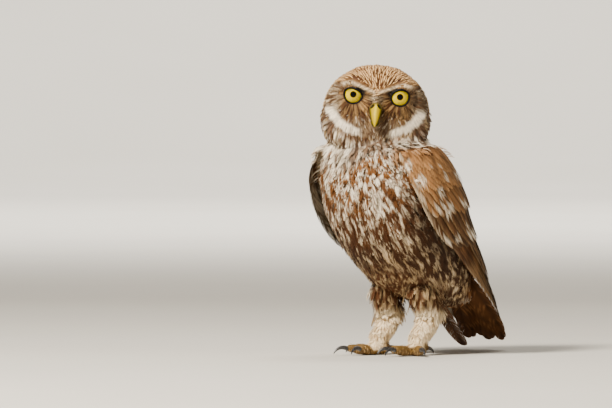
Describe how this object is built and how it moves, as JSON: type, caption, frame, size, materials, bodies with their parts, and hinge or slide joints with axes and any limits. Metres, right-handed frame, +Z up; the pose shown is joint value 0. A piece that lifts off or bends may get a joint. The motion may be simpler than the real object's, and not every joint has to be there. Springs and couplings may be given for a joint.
{
  "type": "little owl",
  "caption": "Life-size little owl standing upright on both feet, wings folded, head turned to its left, with feathers in tiers on wings and tail.",
  "frame": {"origin": "on the floor, under the middle of the bird's bounding box", "axes": "+Z up, +X towards the bird's left, -Y the way the breast faces"},
  "size_m": [0.1044, 0.1749, 0.2024],
  "materials": {
    "breast_feathers": "white and buff feathers streaked with brown",
    "head_feathers": "brown feathers with fine pale streaks",
    "wing_feathers": "brown feathers with white spots",
    "tail_feathers": "dark brown feathers with faint pale bars",
    "leg_feathers": "short buff-white down",
    "toe_skin": "olive scaly skin with sparse bristles",
    "claw_horn": "dark polished horn",
    "bill": "yellow-green horn",
    "eye": "wet, yellow iris with a black pupil",
    "lid": "dark bare skin"
  },
  "bodies": {
    "root": {"torso": "breast_feathers", "neck": "breast_feathers", "head": "head_feathers", "bill_upper": "bill", "bill_lower": "bill", "eye_left": "eye", "eye_right": "eye", "eyelids_left": "lid", "eyelids_right": "lid", "wing_left": "wing_feathers", "wing_right": "wing_feathers", "tail": "tail_feathers", "thigh_left": "leg_feathers", "shank_left": "leg_feathers", "foot_left": "toe_skin", "claw_inner_left": "claw_horn", "claw_middle_left": "claw_horn", "claw_outer_left": "claw_horn", "claw_hind_left": "claw_horn", "thigh_right": "leg_feathers", "shank_right": "leg_feathers", "foot_right": "toe_skin", "claw_inner_right": "claw_horn", "claw_middle_right": "claw_horn", "claw_outer_right": "claw_horn", "claw_hind_right": "claw_horn"}
  },
  "joints": []
}
